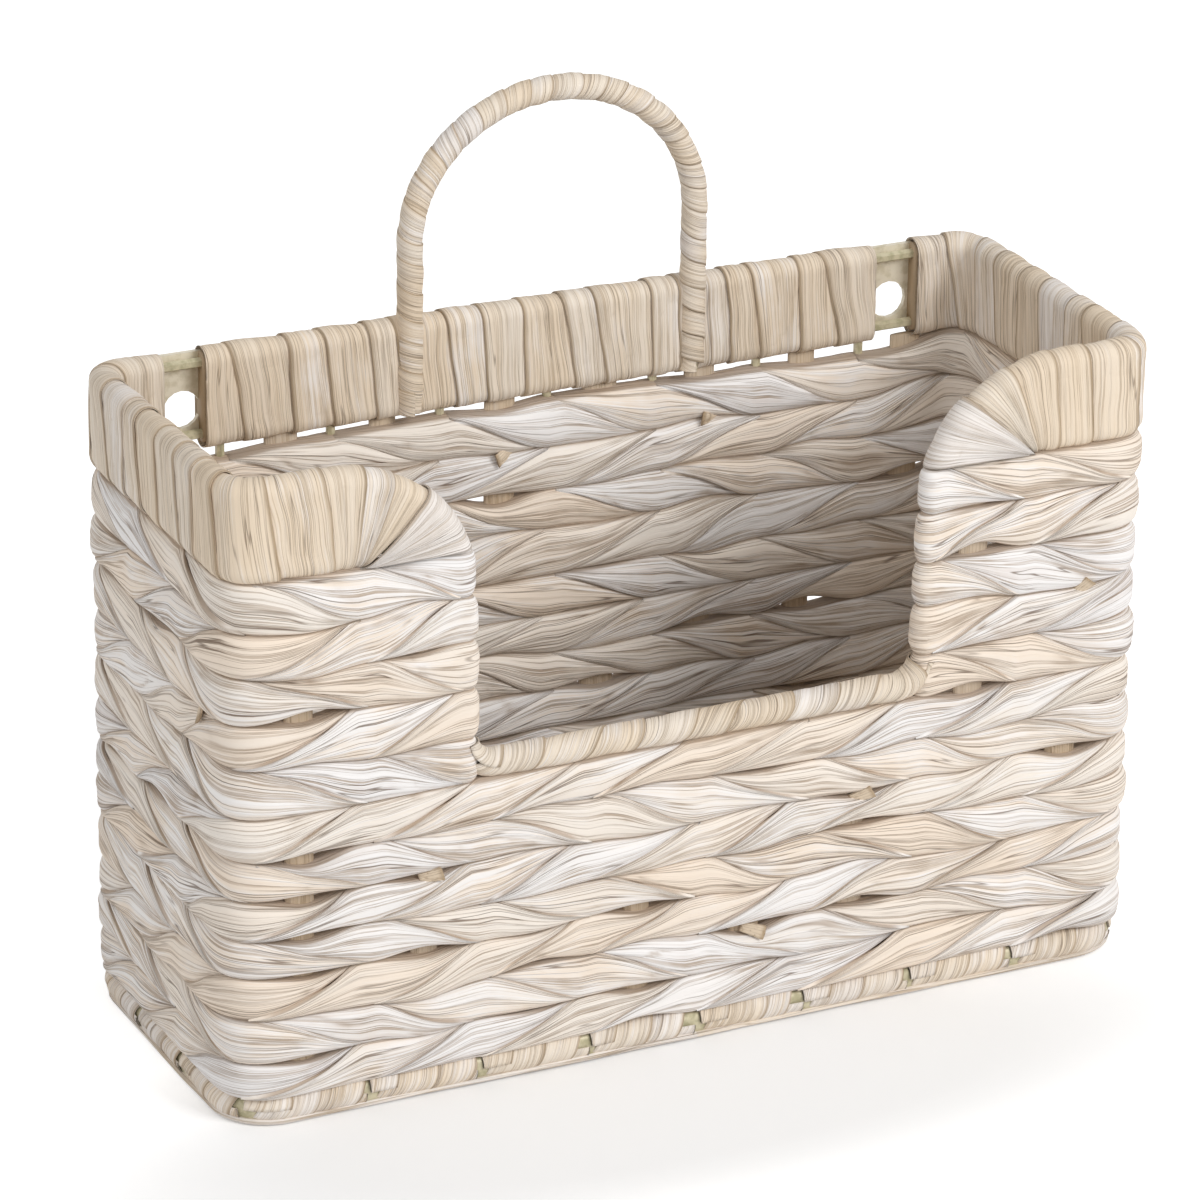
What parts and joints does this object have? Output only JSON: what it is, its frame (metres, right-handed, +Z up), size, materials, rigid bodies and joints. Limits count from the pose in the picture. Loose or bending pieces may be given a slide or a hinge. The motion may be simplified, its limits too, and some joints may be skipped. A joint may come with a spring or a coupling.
{
  "type": "magazine basket",
  "caption": "Narrow twined magazine basket on a wire frame, with a scooped front, a flat wrapped rim, a hoop handle and metal hanging plates at the back.",
  "frame": {"origin": "bottom centre of the whole basket, on the surface it stands on", "axes": "+X to the right along the front, +Y to the wall side, +Z up"},
  "size_m": [0.3862, 0.1482, 0.344],
  "materials": {
    "woven_strand": "matte whitewashed plant fibre, tan and cream with pale wash",
    "floor_strand": "matte plant fibre, tan",
    "leaf_wrap": "matte whitewashed leaf strip with fine long fibres",
    "wire_metal": "satin olive-brown lacquer",
    "plate_metal": "satin olive-brass lacquer"
  },
  "bodies": {
    "root": {"rim_wire": "wire_metal", "lower_band_wire": "wire_metal", "base_wire": "wire_metal", "handle_wire": "wire_metal", "cross_stake_1": "wire_metal", "cross_stake_2": "wire_metal", "cross_stake_3": "wire_metal", "cross_stake_4": "wire_metal", "cross_stake_5": "wire_metal", "cross_stake_6": "wire_metal", "cross_stake_7": "wire_metal", "long_stake_1": "wire_metal", "long_stake_2": "wire_metal", "corner_stake_front_left": "wire_metal", "corner_stake_front_right": "wire_metal", "corner_stake_back_left": "wire_metal", "corner_stake_back_right": "wire_metal", "hanging_plate_left": "plate_metal", "hanging_plate_right": "plate_metal", "rim_wrap_left": "leaf_wrap", "rim_wrap_right": "leaf_wrap", "rim_wrap_back": "leaf_wrap", "scoop_wrap": "leaf_wrap", "base_wrap": "leaf_wrap", "handle_wrap": "leaf_wrap", "floor_strand_1": "floor_strand", "floor_strand_2": "floor_strand", "floor_strand_3": "floor_strand", "floor_strand_4": "floor_strand", "floor_strand_5": "floor_strand", "floor_strand_6": "floor_strand", "row_01_strand_a": "woven_strand", "row_01_strand_b": "woven_strand", "row_02_strand_a": "woven_strand", "row_02_strand_b": "woven_strand", "row_03_strand_a": "woven_strand", "row_03_strand_b": "woven_strand", "row_04_strand_a": "woven_strand", "row_04_strand_b": "woven_strand", "row_05_strand_a": "woven_strand", "row_05_strand_b": "woven_strand", "row_06_strand_a": "woven_strand", "row_06_strand_b": "woven_strand", "row_07_strand_a": "woven_strand", "row_07_strand_b": "woven_strand", "row_08_strand_a": "woven_strand", "row_08_strand_b": "woven_strand", "row_09_strand_a": "woven_strand", "row_09_strand_b": "woven_strand", "row_10_strand_a": "woven_strand", "row_10_strand_b": "woven_strand", "row_11_strand_a": "woven_strand", "row_11_strand_b": "woven_strand", "row_12_strand_a": "woven_strand", "row_12_strand_b": "woven_strand"}
  },
  "joints": []
}
